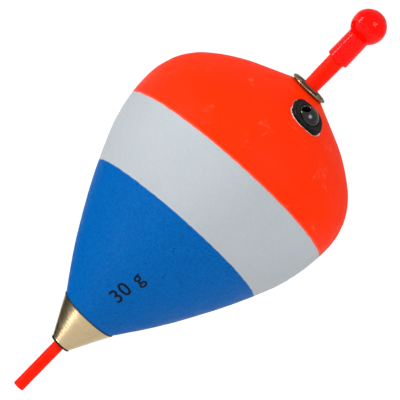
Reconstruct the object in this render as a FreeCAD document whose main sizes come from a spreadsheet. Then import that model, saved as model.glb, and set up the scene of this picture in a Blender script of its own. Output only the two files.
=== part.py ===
import FreeCAD, Part
import math
import os
import Sketcher

# Line-through predator float, standing on its axis.
# Origin: the middle of the lower end of the peg.  +Z: up the float's axis, towards the ball cap.
# The line guide faces -Y.  Millimetres, degrees.

SIZES = {
    # foam body: outline of revolution, from its flat base up to the flat seat of the eyelet
    "base_level": 17.5,
    "base_radius": 5.35,
    "belly_level": 53.3,
    "body_radius": 21.0,
    "hip_radius": 30.5,
    "hip_sweep": 22.3,
    "shoulder_radius": 12.7,
    "shoulder_sweep": 49.7,
    "crown_radius": 30.4,
    "crown_sweep": 15.9,
    "seat_radius": 2.6,
    # peg: a parallel tip, a stem with moulding draft, a wedge and the spigot of the ball cap
    "stem_radius": 1.03,
    "stem_edge": 0.12,
    "tip_length": 10.0,
    "draft_radius": 1.08,
    "wedge_level": 50.0,
    "wedge_radius": 1.53,
    "skirt_level": 77.45,
    "spigot_step": 0.07,
    "spigot_length": 6.2,
    "bore_clearance": 0.06,
    # liner of the central bore and the angled tube that the line comes in through
    "liner_wall": 0.5,
    "tube_bore": 0.7,
    "tube_wall": 0.3,
    # brass eyelet in the top of the foam
    "eyelet_radius": 3.48,
    "eyelet_plate": 0.26,
    "eyelet_rim": 0.24,
    "eyelet_barrel_wall": 0.28,
    "eyelet_barrel_length": 3.0,
    # grey stop ring that grips the peg above the eyelet
    "ring_wall": 0.32,
    "ring_height": 0.4,
    "ring_round": 0.12,
    "ring_clearance": 0.05,
    "ring_gap": 0.05,
    # brass cone at the lower end, with a tail that is glued into the foam
    "cone_length": 7.0,
    "cone_mouth_radius": 1.93,
    "cone_overhang": 0.12,
    "cone_lip": 0.35,
    "cone_edge": 0.12,
    "tail_wall": 0.7,
    "tail_length": 5.0,
    "tail_socket": 3.5,
    # bush in the cone's mouth, with a thin flange over its end
    "bush_wall": 0.28,
    "bush_length": 3.0,
    "bush_flange": 0.3,
    "bush_gap": 0.4,
    # line guide: a housing let into the shoulder, with a bead that swivels in it
    "guide_reach": 8.15,
    "guide_proud": 0.5,
    "shank_wall": 0.27,
    "flange_end": 0.55,
    "flange_side": 0.45,
    "flange_corner": 2.4,
    "flange_depth": 1.35,
    "funnel_depth": 1.92,
    "bead_radius": 2.25,
    "bead_sink": 0.95,
    "bead_bore": 0.75,
    "bead_mouth": 0.2,
    "bead_tilt": 40.0,
    "bead_clearance": 0.08,
    # ball cap: a soft moulding pushed over the spigot
    "cap_clearance": 0.04,
    "skirt_wall": 0.5,
    "skirt_flare": 0.06,
    "skirt_edge": 0.1,
    "ball_height": 7.69,
    "ball_radius": 3.07,
}

ALIAS = {name: "Sizes." + name for name in SIZES}


def fill(text):
    """An expression on the sheet, from a text that names sizes in braces."""
    return text.format(**ALIAS)


# Places and sizes that follow from those above, as expressions on the sheet.
TURN = fill("({shoulder_sweep} + {crown_sweep}) * 1 deg")
SHOULDER_R = fill("({body_radius} - {shoulder_radius} * (1 - cos({shoulder_sweep} * 1 deg)))")
SHOULDER_Z = fill("({belly_level} + {shoulder_radius} * sin({shoulder_sweep} * 1 deg))")
CROWN_R = fill("(" + SHOULDER_R + " - {crown_radius} * (cos({shoulder_sweep} * 1 deg) - cos(" + TURN + ")))")
CROWN_Z = fill("(" + SHOULDER_Z + " + {crown_radius} * (sin(" + TURN + ") - sin({shoulder_sweep} * 1 deg)))")
SEAT_Z = fill("(" + CROWN_Z + " + (" + CROWN_R + " - {seat_radius}) / tan(" + TURN + "))")
HIP_R = fill("({body_radius} - {hip_radius} * (1 - cos({hip_sweep} * 1 deg)))")
HIP_Z = fill("({belly_level} - {hip_radius} * sin({hip_sweep} * 1 deg))")
FLANK_RADIUS = fill(
    "(((" + HIP_R + " - {base_radius})^2 + (" + HIP_Z + " - {base_level})^2)"
    " / (2 * ((" + HIP_R + " - {base_radius}) * cos({hip_sweep} * 1 deg)"
    " - (" + HIP_Z + " - {base_level}) * sin({hip_sweep} * 1 deg))))"
)
WEDGE_AT_SEAT = fill(
    "({draft_radius} + ({wedge_radius} - {draft_radius})"
    " * (" + SEAT_Z + " - {wedge_level}) / ({skirt_level} - {wedge_level}))"
)
BORE_RADIUS = fill("(" + WEDGE_AT_SEAT + " + {bore_clearance})")
LINER_RADIUS = fill("(" + BORE_RADIUS + " + {liner_wall})")
TUBE_RADIUS = fill("({tube_bore} + {tube_wall})")
TAIL_RADIUS = fill("(" + LINER_RADIUS + " + {tail_wall})")
TAIL_TOP = fill("({base_level} + {tail_length})")
LINER_FOOT = fill("(" + TAIL_TOP + " - {tail_socket})")
MOUTH_LEVEL = fill("({base_level} - {cone_length})")
BUSH_BORE = fill("({stem_radius} + {bush_gap})")
BUSH_RADIUS = fill("(" + BUSH_BORE + " + {bush_wall})")
EYELET_TOP = fill("(" + SEAT_Z + " + {eyelet_plate})")
SPIGOT_RADIUS = fill("({wedge_radius} - {spigot_step})")
CAP_BORE = fill("(" + SPIGOT_RADIUS + " + {cap_clearance})")
SKIRT_RADIUS = fill("(" + CAP_BORE + " + {skirt_wall})")
SOCKET_RADIUS = fill("({bead_radius} + {bead_clearance})")
SOCKET_OPENING = fill("sqrt(" + SOCKET_RADIUS + "^2 - {bead_sink}^2)")
SHANK_RADIUS = fill("(" + SOCKET_RADIUS + " + {shank_wall})")
HOUSING_DEPTH = fill("({bead_sink} + " + SOCKET_RADIUS + " + {funnel_depth})")
GUIDE_LEAN = "(90 deg - " + TURN + ")"
GUIDE_Z = fill("(" + SEAT_Z + " - ({guide_reach} - {seat_radius}) / tan(" + TURN + "))")

doc = FreeCAD.newDocument("predator_float")


def make_sheet():
    """Spreadsheet of the driving sizes, one alias a row."""
    sheet = doc.addObject("Spreadsheet::Sheet", "Sizes")
    for row, (name, value) in enumerate(SIZES.items(), start=1):
        sheet.set("A%d" % row, name)
        sheet.set("B%d" % row, str(value))
        sheet.setAlias("B%d" % row, name)
    doc.recompute()
    return sheet


sheet = make_sheet()


def plane(body, role):
    """One of a body's own origin planes."""
    return next(item for item in body.Origin.OriginFeatures if item.Role == role)


def new_body(label):
    """An empty body, named and labelled for its piece."""
    body = doc.addObject("PartDesign::Body", label)
    body.Label = label
    return body


def new_sketch(body, name, role="XZ_Plane"):
    """A sketch on one of the body's origin planes."""
    sketch = body.newObject("Sketcher::SketchObject", name)
    sketch.AttachmentSupport = [(plane(body, role), "")]
    sketch.MapMode = "FlatFace"
    return sketch


def edge_between(start, end, bend):
    """A line, or an arc of the given radius whose middle lies left (+) or right (-) of the way along.

    Returns the geometry and which of its ends is the start of the way.
    """
    if not bend:
        return Part.LineSegment(start, end), 1
    radius = abs(bend)
    chord = end - start
    half = chord.Length / 2
    left = FreeCAD.Vector(-chord.y, chord.x, 0).normalize()
    side = math.copysign(1, bend)
    middle = start + chord * 0.5 + left * (side * math.sqrt(max(radius * radius - half * half, 0)))
    first, last = (start, end) if bend > 0 else (end, start)
    angles = [math.atan2(point.y - middle.y, point.x - middle.x) for point in (first, last)]
    circle = Part.Circle(middle, FreeCAD.Vector(0, 0, 1), radius)
    return Part.ArcOfCircle(circle, angles[0], angles[1]), 1 if bend > 0 else 2


def hold(sketch, kind, edge, end, text):
    """Ties one coordinate of an edge's end to an expression, or to the axis where it is nought."""
    if text == "0":
        axis = -2 if kind == "DistanceX" else -1
        sketch.addConstraint(Sketcher.Constraint("PointOnObject", edge, end, axis))
        return
    value = float(sheet.evalExpression(text))
    index = sketch.addConstraint(Sketcher.Constraint(kind, -1, 1, edge, end, value))
    sketch.setExpression("Constraints[%d]" % index, text)


def draw(sketch, corners):
    """Closed outline.  Each corner gives its two coordinates and the way on: "" for a straight
    edge, "+radius" for an arc that bulges out of the outline, "-radius" for a hollow one."""
    corners = [tuple(fill(part) for part in corner) for corner in corners]
    points = [
        FreeCAD.Vector(*(float(sheet.evalExpression(part)) for part in corner[:2]), 0) for corner in corners
    ]
    ends = []
    for index, (_, _, bend) in enumerate(corners):
        radius = float(sheet.evalExpression(bend[1:])) * (1 if bend[0] == "+" else -1) if bend else 0
        shape, start_end = edge_between(points[index], points[(index + 1) % len(points)], radius)
        edge = sketch.addGeometry(shape, False)
        ends.append((edge, start_end))
        if bend:
            constraint = sketch.addConstraint(Sketcher.Constraint("Radius", edge, abs(radius)))
            sketch.setExpression("Constraints[%d]" % constraint, bend[1:])
    for index, (edge, end) in enumerate(ends):
        before, before_start = ends[index - 1]
        sketch.addConstraint(Sketcher.Constraint("Coincident", before, 3 - before_start, edge, end))
        hold(sketch, "DistanceX", edge, end, corners[index][0])
        hold(sketch, "DistanceY", edge, end, corners[index][1])
    return sketch


def turned(body, name, corners, kind="PartDesign::Revolution"):
    """A full turn of an outline about the body's Z axis: added, or cut with kind Groove."""
    sketch = draw(new_sketch(body, name + "_outline"), corners)
    feature = body.newObject(kind, name)
    feature.Profile = sketch
    feature.ReferenceAxis = (sketch, ["V_Axis"])
    feature.Angle = 360
    doc.recompute()
    return feature


def place(item, z="0", x="0", y="0"):
    """Binds an object's place."""
    for axis, text in (("x", x), ("y", y), ("z", z)):
        item.setExpression("Placement.Base." + axis, text)


def place_on_guide(item, depth="0", tilt=None):
    """Binds an object to the guide's frame: its Z leans out of the shoulder, towards -Y.

    depth is measured from the shoulder's surface down the guide's axis; tilt turns the object
    about the guide's own Y axis first.
    """
    item.setExpression("Placement.Base.x", "0")
    item.setExpression("Placement.Base.y", fill("-{guide_reach} + (" + depth + ") * sin(" + GUIDE_LEAN + ")"))
    item.setExpression("Placement.Base.z", GUIDE_Z + fill(" - (" + depth + ") * cos(" + GUIDE_LEAN + ")"))
    turn = "rotation(vector(1; 0; 0); " + GUIDE_LEAN + ")"
    if tilt:
        turn += " * rotation(vector(0; 1; 0); " + tilt + ")"
    item.setExpression("Placement.Rotation", turn)


def cut(label, base, *tools):
    """Base less every tool, one Part::Cut after another; the last carries the label."""
    for number, tool in enumerate(tools, start=1):
        step = doc.addObject("Part::Cut", label if number == len(tools) else "%s_cut_%d" % (label, number))
        step.Base = base
        step.Tool = tool
        base = step
    base.Label = label
    return base


def cylinder(name, radius, height):
    """A Part cylinder with bound sizes."""
    item = doc.addObject("Part::Cylinder", name)
    item.setExpression("Radius", radius)
    item.setExpression("Height", height)
    return item


def make_foam_blank():
    """Outline: base, flank, hip, shoulder and crown arcs, then the straight slope to the eyelet's seat."""
    body = new_body("foam_blank")
    turned(body, "foam_turned", [
        ("0", "{base_level}", ""),
        ("{base_radius}", "{base_level}", "+" + FLANK_RADIUS),
        (HIP_R, HIP_Z, "+{hip_radius}"),
        ("{body_radius}", "{belly_level}", "+{shoulder_radius}"),
        (SHOULDER_R, SHOULDER_Z, "+{crown_radius}"),
        (CROWN_R, CROWN_Z, ""),
        ("{seat_radius}", SEAT_Z, ""),
        ("0", SEAT_Z, ""),
    ])
    return body


def make_core_recess():
    """What the central bore takes out of the foam: cone tail, liner and eyelet barrel."""
    barrel = "(" + LINER_RADIUS + " + {eyelet_barrel_wall})"
    barrel_foot = "(" + SEAT_Z + " - {eyelet_barrel_length})"
    body = new_body("core_recess")
    turned(body, "core_turned", [
        ("0", MOUTH_LEVEL, ""),
        (TAIL_RADIUS, MOUTH_LEVEL, ""),
        (TAIL_RADIUS, TAIL_TOP, ""),
        (LINER_RADIUS, TAIL_TOP, ""),
        (LINER_RADIUS, barrel_foot, ""),
        (barrel, barrel_foot, ""),
        (barrel, EYELET_TOP, ""),
        ("0", EYELET_TOP, ""),
    ])
    return body


def rounded_block(body, name, height):
    """Pad of the housing's rounded rectangle, from the body's XY plane upwards."""
    half_l = "(" + SHANK_RADIUS + " + {flange_end})"
    half_w = "(" + SHANK_RADIUS + " + {flange_side})"
    near_l = "(" + half_l + " - {flange_corner})"
    near_w = "(" + half_w + " - {flange_corner})"
    sketch = draw(new_sketch(body, name + "_outline", "XY_Plane"), [
        (half_l, "-" + near_w, ""),
        (half_l, near_w, "+{flange_corner}"),
        (near_l, half_w, ""),
        ("-" + near_l, half_w, "+{flange_corner}"),
        ("-" + half_l, near_w, ""),
        ("-" + half_l, "-" + near_w, "+{flange_corner}"),
        ("-" + near_l, "-" + half_w, ""),
        (near_l, "-" + half_w, "+{flange_corner}"),
    ])
    pad = body.newObject("PartDesign::Pad", name)
    pad.Profile = sketch
    pad.setExpression("Length", fill(height))
    doc.recompute()
    return pad


def make_guide_recess():
    """What the housing takes out of the foam: the flange's rounded pocket and the shank's hole."""
    body = new_body("guide_recess")
    rounded_block(body, "recess_pocket", "{flange_depth} + {bead_radius}")
    turned(body, "recess_hole", [
        ("0", "{flange_depth} - " + HOUSING_DEPTH, ""),
        (SHANK_RADIUS, "{flange_depth} - " + HOUSING_DEPTH, ""),
        (SHANK_RADIUS, "{flange_depth} / 2", ""),
        ("0", "{flange_depth} / 2", ""),
    ])
    place_on_guide(body, "{flange_depth} - {guide_proud}")
    return body


def make_foam_body():
    """Foam body: the turned blank less the core, the guide's recess and the angled tube."""
    tunnel = cylinder("tube_tunnel", TUBE_RADIUS, fill("{guide_reach} / sin(" + GUIDE_LEAN + ")"))
    place_on_guide(tunnel, "{guide_reach} / sin(" + GUIDE_LEAN + ")")
    return cut("foam_body", make_foam_blank(), make_core_recess(), make_guide_recess(), tunnel)


def make_bore_liner():
    """Tube through the foam, with the hole in its side where the angled tube comes in."""
    body = new_body("liner_tube")
    turned(body, "liner_turned", [
        (BORE_RADIUS, "0", ""),
        (LINER_RADIUS, "0", ""),
        (LINER_RADIUS, SEAT_Z + " - " + LINER_FOOT, ""),
        (BORE_RADIUS, SEAT_Z + " - " + LINER_FOOT, ""),
    ])
    place(body, LINER_FOOT)
    drill = cylinder("liner_drill", "Sizes.tube_bore", fill("{guide_reach} / sin(" + GUIDE_LEAN + ")"))
    place_on_guide(drill, "{guide_reach} / sin(" + GUIDE_LEAN + ")")
    return cut("bore_liner", body, drill)


def make_line_tube():
    """Angled tube from the foot of the housing to the liner, coped to fit round the liner."""
    length = "({guide_reach} / sin(" + GUIDE_LEAN + ") - " + HOUSING_DEPTH + " + {guide_proud})"
    body = new_body("line_tube_blank")
    turned(body, "line_tube_turned", [
        ("{tube_bore}", "0", ""),
        (TUBE_RADIUS, "0", ""),
        (TUBE_RADIUS, length, ""),
        ("{tube_bore}", length, ""),
    ])
    place_on_guide(body, "{guide_reach} / sin(" + GUIDE_LEAN + ")")
    cope = cylinder("line_tube_cope", LINER_RADIUS, SEAT_Z)
    return cut("line_tube", body, cope)


def make_top_eyelet():
    """Brass eyelet: barrel round the liner, plate on the foam, rim rolled over at the edge."""
    barrel = "(" + LINER_RADIUS + " + {eyelet_barrel_wall})"
    body = new_body("top_eyelet")
    turned(body, "eyelet_turned", [
        (LINER_RADIUS, "-{eyelet_barrel_length}", ""),
        (barrel, "-{eyelet_barrel_length}", ""),
        (barrel, "0", ""),
        ("{eyelet_radius} - {eyelet_rim}", "0", "+{eyelet_rim}"),
        ("{eyelet_radius}", "{eyelet_rim}", "+{eyelet_rim}"),
        ("{eyelet_radius} - {eyelet_rim}", "2 * {eyelet_rim}", "+{eyelet_rim}"),
        ("{eyelet_radius} - 2 * {eyelet_rim}", "{eyelet_plate}", ""),
        (BORE_RADIUS, "{eyelet_plate}", ""),
        (BORE_RADIUS, "0", ""),
        (LINER_RADIUS, "0", ""),
    ])
    place(body, SEAT_Z)
    return body


def make_stop_ring():
    """Grey ring round the peg, just clear of the eyelet's plate."""
    inner = "(" + WEDGE_AT_SEAT + " + {ring_clearance})"
    outer = "(" + inner + " + {ring_wall})"
    body = new_body("stop_ring")
    turned(body, "ring_turned", [
        (inner, "0", ""),
        (outer + " - {ring_round}", "0", "+{ring_round}"),
        (outer, "{ring_round}", ""),
        (outer, "{ring_height} - {ring_round}", "+{ring_round}"),
        (outer + " - {ring_round}", "{ring_height}", ""),
        (inner, "{ring_height}", ""),
    ])
    place(body, fill(EYELET_TOP + " + {ring_gap}"))
    return body


def make_ballast_cone():
    """Brass cone: a short upright lip at the foam, the cone, its bored mouth, and the tail."""
    rim = "({base_radius} + {cone_overhang})"
    socket_floor = "({cone_length} + {tail_length} - {tail_socket})"
    body = new_body("ballast_cone")
    turned(body, "cone_turned", [
        (BUSH_RADIUS, "0", ""),
        ("{cone_mouth_radius}", "0", ""),
        (rim, "{cone_length} - {cone_lip}", ""),
        (rim, "{cone_length} - {cone_edge}", "+{cone_edge}"),
        (rim + " - {cone_edge}", "{cone_length}", ""),
        (TAIL_RADIUS, "{cone_length}", ""),
        (TAIL_RADIUS, "{cone_length} + {tail_length}", ""),
        (LINER_RADIUS, "{cone_length} + {tail_length}", ""),
        (LINER_RADIUS, socket_floor, ""),
        (BORE_RADIUS, socket_floor, ""),
        (BORE_RADIUS, "{bush_length}", ""),
        (BUSH_RADIUS, "{bush_length}", ""),
    ])
    place(body, MOUTH_LEVEL)
    return body


def make_lower_bush():
    """Bush in the cone's mouth, with a thin flange over the cone's end."""
    body = new_body("lower_bush")
    turned(body, "bush_turned", [
        (BUSH_BORE, "0", ""),
        ("{cone_mouth_radius}", "0", ""),
        ("{cone_mouth_radius}", "{bush_flange}", ""),
        (BUSH_RADIUS, "{bush_flange}", ""),
        (BUSH_RADIUS, "{bush_flange} + {bush_length}", ""),
        (BUSH_BORE, "{bush_flange} + {bush_length}", ""),
    ])
    place(body, fill(MOUTH_LEVEL + " - {bush_flange}"))
    return body


def make_guide_housing():
    """Housing: rounded flange and round shank, a ball socket, and a funnel down to the tube."""
    ball_up = "{flange_depth} - {bead_sink}"
    foot = "{flange_depth} - " + HOUSING_DEPTH
    body = new_body("guide_housing")
    rounded_block(body, "housing_flange", "{flange_depth}")
    turned(body, "housing_shank", [
        ("0", foot, ""),
        (SHANK_RADIUS, foot, ""),
        (SHANK_RADIUS, "{flange_depth} / 2", ""),
        ("0", "{flange_depth} / 2", ""),
    ])
    whole = body.Shape.Volume
    turned(body, "housing_socket", [
        ("0", foot, ""),
        ("{tube_bore}", foot, ""),
        ("{tube_bore}", foot + " + {tube_wall}", ""),
        (SOCKET_OPENING, ball_up + " - " + SOCKET_RADIUS, ""),
        (SOCKET_OPENING, ball_up + " - {bead_sink}", "+" + SOCKET_RADIUS),
        (SOCKET_OPENING, "{flange_depth}", ""),
        ("0", "{flange_depth}", ""),
    ], "PartDesign::Groove")
    if body.Shape.Volume > 0.8 * whole:
        raise RuntimeError("the housing's socket was not cut")
    place_on_guide(body, "{flange_depth} - {guide_proud}")
    return body


def make_guide_bead():
    """Bead: a ball with a rounded bore through it, tilted to one side at rest."""
    side = "({bead_bore} + {bead_mouth})"
    level = "sqrt({bead_radius}^2 - ({bead_bore} + {bead_mouth})^2)"
    bore_end = "(" + level + " - {bead_mouth})"
    body = new_body("guide_bead")
    turned(body, "bead_turned", [
        (side, "-" + level, "+{bead_radius}"),
        (side, level, "+{bead_mouth}"),
        ("{bead_bore}", bore_end, ""),
        ("{bead_bore}", "-" + bore_end, "+{bead_mouth}"),
    ])
    place_on_guide(body, "{bead_sink} - {guide_proud}", fill("-{bead_tilt} * 1 deg"))
    return body


def make_peg():
    """Peg: parallel tip, drafted stem, wedge, and the spigot under the ball cap."""
    top = "{skirt_level} + {spigot_length}"
    body = new_body("peg")
    turned(body, "peg_turned", [
        ("0", "0", ""),
        ("{stem_radius} - {stem_edge}", "0", "+{stem_edge}"),
        ("{stem_radius}", "{stem_edge}", ""),
        ("{stem_radius}", "{tip_length}", ""),
        ("{draft_radius}", "{wedge_level}", ""),
        ("{wedge_radius}", "{skirt_level}", ""),
        (SPIGOT_RADIUS, "{skirt_level}", ""),
        (SPIGOT_RADIUS, top + " - {stem_edge}", "+{stem_edge}"),
        (SPIGOT_RADIUS + " - {stem_edge}", top, ""),
        ("0", top, ""),
    ])
    place(body, "0")
    return body


def make_ball_cap():
    """Cap: flared skirt with a blind bore, and the ball on top of it."""
    neck = SKIRT_RADIUS
    ball_foot = "({ball_height} - sqrt({ball_radius}^2 - " + neck + "^2))"
    body = new_body("ball_cap")
    turned(body, "cap_turned", [
        (CAP_BORE, "0", ""),
        (neck + " + {skirt_flare} - {skirt_edge}", "0", "+{skirt_edge}"),
        (neck + " + {skirt_flare}", "{skirt_edge}", ""),
        (neck, ball_foot, "+{ball_radius}"),
        ("0", "{ball_height} + {ball_radius}", ""),
        ("0", "{spigot_length} + {cap_clearance}", ""),
        (CAP_BORE, "{spigot_length} + {cap_clearance}", ""),
    ])
    place(body, "Sizes.skirt_level")
    return body


def check(pieces):
    """Stops if any object failed, or a piece has no sound solid."""
    for item in doc.Objects:
        if {"Invalid", "Error"} & set(item.State):
            raise RuntimeError("%s failed: %s" % (item.Label, item.State))
    for item in pieces:
        shape = item.Shape
        if shape.isNull() or not shape.isValid() or len(shape.Solids) != 1 or shape.Volume <= 0:
            raise RuntimeError("%s has no sound solid" % item.Label)


pieces = [
    make_foam_body(),
    make_bore_liner(),
    make_line_tube(),
    make_top_eyelet(),
    make_stop_ring(),
    make_ballast_cone(),
    make_lower_bush(),
    make_guide_housing(),
    make_guide_bead(),
    make_peg(),
    make_ball_cap(),
]
doc.recompute()
check(pieces)

os.makedirs("parts", exist_ok=True)
for item in pieces:
    item.Shape.exportStep("parts/%s.step" % item.Label)
    box = item.Shape.BoundBox
    print("%-14s %9.2f mm3   x %6.2f %6.2f   y %6.2f %6.2f   z %6.2f %6.2f" % (
        item.Label, item.Shape.Volume, box.XMin, box.XMax, box.YMin, box.YMax, box.ZMin, box.ZMax))
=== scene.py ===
"""A pear-shaped, line-through float: painted foam, brass ends, a peg with a ball cap, a line guide."""

import logging
import math
from dataclasses import dataclass, field
from enum import Enum

import bmesh
import bpy
import numpy as np
from mathutils import Matrix, Vector


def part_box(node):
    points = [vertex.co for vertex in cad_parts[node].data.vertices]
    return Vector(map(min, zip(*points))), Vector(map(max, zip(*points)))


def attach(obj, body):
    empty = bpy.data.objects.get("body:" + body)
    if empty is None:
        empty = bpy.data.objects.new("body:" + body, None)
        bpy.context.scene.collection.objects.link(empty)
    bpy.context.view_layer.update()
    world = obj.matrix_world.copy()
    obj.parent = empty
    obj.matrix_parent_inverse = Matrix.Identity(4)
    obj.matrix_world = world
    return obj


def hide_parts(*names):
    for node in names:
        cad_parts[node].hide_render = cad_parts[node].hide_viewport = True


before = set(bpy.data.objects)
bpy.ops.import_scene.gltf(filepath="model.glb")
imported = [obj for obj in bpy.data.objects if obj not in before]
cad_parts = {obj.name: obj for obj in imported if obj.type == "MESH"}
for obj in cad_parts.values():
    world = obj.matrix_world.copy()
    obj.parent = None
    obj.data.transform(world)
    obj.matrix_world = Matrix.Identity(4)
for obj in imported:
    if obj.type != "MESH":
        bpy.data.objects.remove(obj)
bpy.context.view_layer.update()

MM = 0.001
SEED = 4107
log = logging.getLogger("float")

Array = np.ndarray
Pair = tuple[float, float]
Triple = tuple[float, float, float]
Socket = bpy.types.NodeSocket
Material = bpy.types.Material
Piece = bpy.types.Object


# ---------------------------------------------------------------- shapes

def straight(start: Pair, end: Pair, steps: int = 1) -> Array:
    """Points along a straight stretch of an outline, the first one included and the last left out.

    Args:
        start: radius and height of its first point.
        end: radius and height of its last point.
        steps: how many points to give.

    Returns:
        An array of (radius, height) rows.
    """
    share = np.arange(steps)[:, None] / steps
    return np.asarray(start) * (1 - share) + np.asarray(end) * share


def arc(middle: Pair, radius: float, first: float, last: float, steps: int) -> Array:
    """Points along an arc of an outline, the first one included and the last left out.

    A point is the middle plus the radius times (cos a, sin a), with a going evenly from first to last.

    Args:
        middle: radius and height of the arc's middle.
        radius: the arc's own radius.
        first: angle of its first point, in degrees from the outward direction.
        last: angle of its last point, in degrees.
        steps: how many points to give.

    Returns:
        An array of (radius, height) rows.
    """
    angle = np.radians(first + (last - first) * np.arange(steps) / steps)
    return np.column_stack((middle[0] + radius * np.cos(angle), middle[1] + radius * np.sin(angle)))


def through(*stops: tuple | Array) -> Array:
    """An outline through corners and arcs, its last point left out.

    A corner is (radius, height, steps): from it the outline goes straight, in that many steps, to
    where the next stop begins. The last stop only ends the outline.

    Args:
        stops: corners, and rows of points that an arc gives.

    Returns:
        An array of (radius, height) rows.
    """
    rows = []
    for stop, after in zip(stops, stops[1:]):
        if isinstance(stop, tuple):
            rows.append(straight(stop[:2], after[:2] if isinstance(after, tuple) else after[0], stop[2]))
        else:
            rows.append(stop)
    return np.vstack(rows)


def smoothstep(low: float, high: float, value: Array) -> Array:
    """Goes from 0 at low to 1 at high along 3s^2 - 2s^3, and stays flat outside."""
    share = np.clip((value - low) / (high - low), 0, 1)
    return share * share * (3 - 2 * share)


def ripple(points: Array, size: float, seed: int, waves: int = 14) -> Array:
    """Smooth noise: the mean of plane waves, each cos(k.p + phase) with its own random direction.

    Args:
        points: positions, one row each, in millimetres.
        size: the typical wavelength, in millimetres.
        seed: picks the directions and phases.
        waves: how many waves are added.

    Returns:
        One value a point, mostly between -1 and 1.
    """
    chance = np.random.default_rng(SEED + seed)
    direction = chance.normal(size=(waves, 3))
    direction /= np.linalg.norm(direction, axis=1)[:, None]
    wave = direction * (2 * np.pi / (size * chance.uniform(0.6, 1.6, waves)))[:, None]
    phase = chance.uniform(0, 2 * np.pi, waves)
    return np.cos(points @ wave.T + phase).sum(axis=1) / math.sqrt(waves / 2) / 1.6


def swell(points: Array) -> Array:
    """Unevenness of the painted foam in millimetres: a broad ripple and a finer one."""
    return 0.03 * ripple(points, 9.0, 1) + 0.012 * ripple(points, 2.6, 2)


def grid_faces(rows: int, columns: int, closed_rows: bool) -> Array:
    """Quads of a grid whose columns close on themselves, and whose rows may.

    Args:
        rows: number of rows of points.
        columns: number of points in a row.
        closed_rows: whether the last row joins the first.

    Returns:
        An array of four indices a face.
    """
    row = np.arange(rows if closed_rows else rows - 1)[:, None]
    column = np.arange(columns)[None, :]
    below, above = row * columns, (row + 1) % rows * columns
    after = (column + 1) % columns
    return np.stack((below + column, below + after, above + after, above + column), axis=-1).reshape(-1, 4)


def make_piece(name: str, points: Array, faces: list, sharp: float = 40.0) -> Piece:
    """Makes a mesh object at the origin, smooth but for edges sharper than an angle.

    Args:
        name: the piece's name.
        points: positions in millimetres.
        faces: index rows, of three or four.
        sharp: the edge angle, in degrees, from which shading is split.

    Returns:
        The new object, linked to the scene.
    """
    mesh = bpy.data.meshes.new(name)
    mesh.from_pydata((points * MM).tolist(), [], [list(map(int, face)) for face in faces])
    mesh.validate()
    mesh.shade_smooth()
    mesh.set_sharp_from_angle(angle=math.radians(sharp))
    piece = bpy.data.objects.new(name, mesh)
    bpy.context.scene.collection.objects.link(piece)
    return piece


def turned(outline: Array, columns: int, closed: bool) -> tuple[Array, list]:
    """Surface of revolution: row i, column j is (r cos f, r sin f, z) with f = 2 pi j / columns.

    Args:
        outline: (radius, height) rows, going up the outside, so that faces point outwards.
        columns: number of points round the axis.
        closed: whether the outline joins its own start; if not, its ends lie on the axis.

    Returns:
        The points and the faces; an end on the axis becomes one pole point with a fan round it.
    """
    angle = 2 * np.pi * np.arange(columns) / columns
    body = outline if closed else outline[1:-1]
    points = np.stack((
        body[:, :1] * np.cos(angle),
        body[:, :1] * np.sin(angle),
        np.repeat(body[:, 1:], columns, axis=1),
    ), axis=-1).reshape(-1, 3)
    faces = grid_faces(len(body), columns, closed).tolist()
    if closed:
        return points, faces
    low, high = len(points), len(points) + 1
    points = np.vstack((points, [0, 0, outline[0, 1]], [0, 0, outline[-1, 1]]))
    step = np.arange(columns)
    after = (step + 1) % columns
    last = (len(body) - 1) * columns
    faces += np.column_stack((after, step, np.full(columns, low))).tolist()
    faces += np.column_stack((last + step, last + after, np.full(columns, high))).tolist()
    return points, faces


def set_values(piece: Piece, name: str, values: Array) -> None:
    """Stores one number a point under a name that a finish can read."""
    attribute = piece.data.attributes.new(name, "FLOAT", "POINT")
    attribute.data.foreach_set("value", np.asarray(values, dtype=np.float32))


# ---------------------------------------------------------------- finishes

class Blend(Enum):
    """How two colours are put together."""

    MIX = "MIX"
    MULTIPLY = "MULTIPLY"


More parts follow.
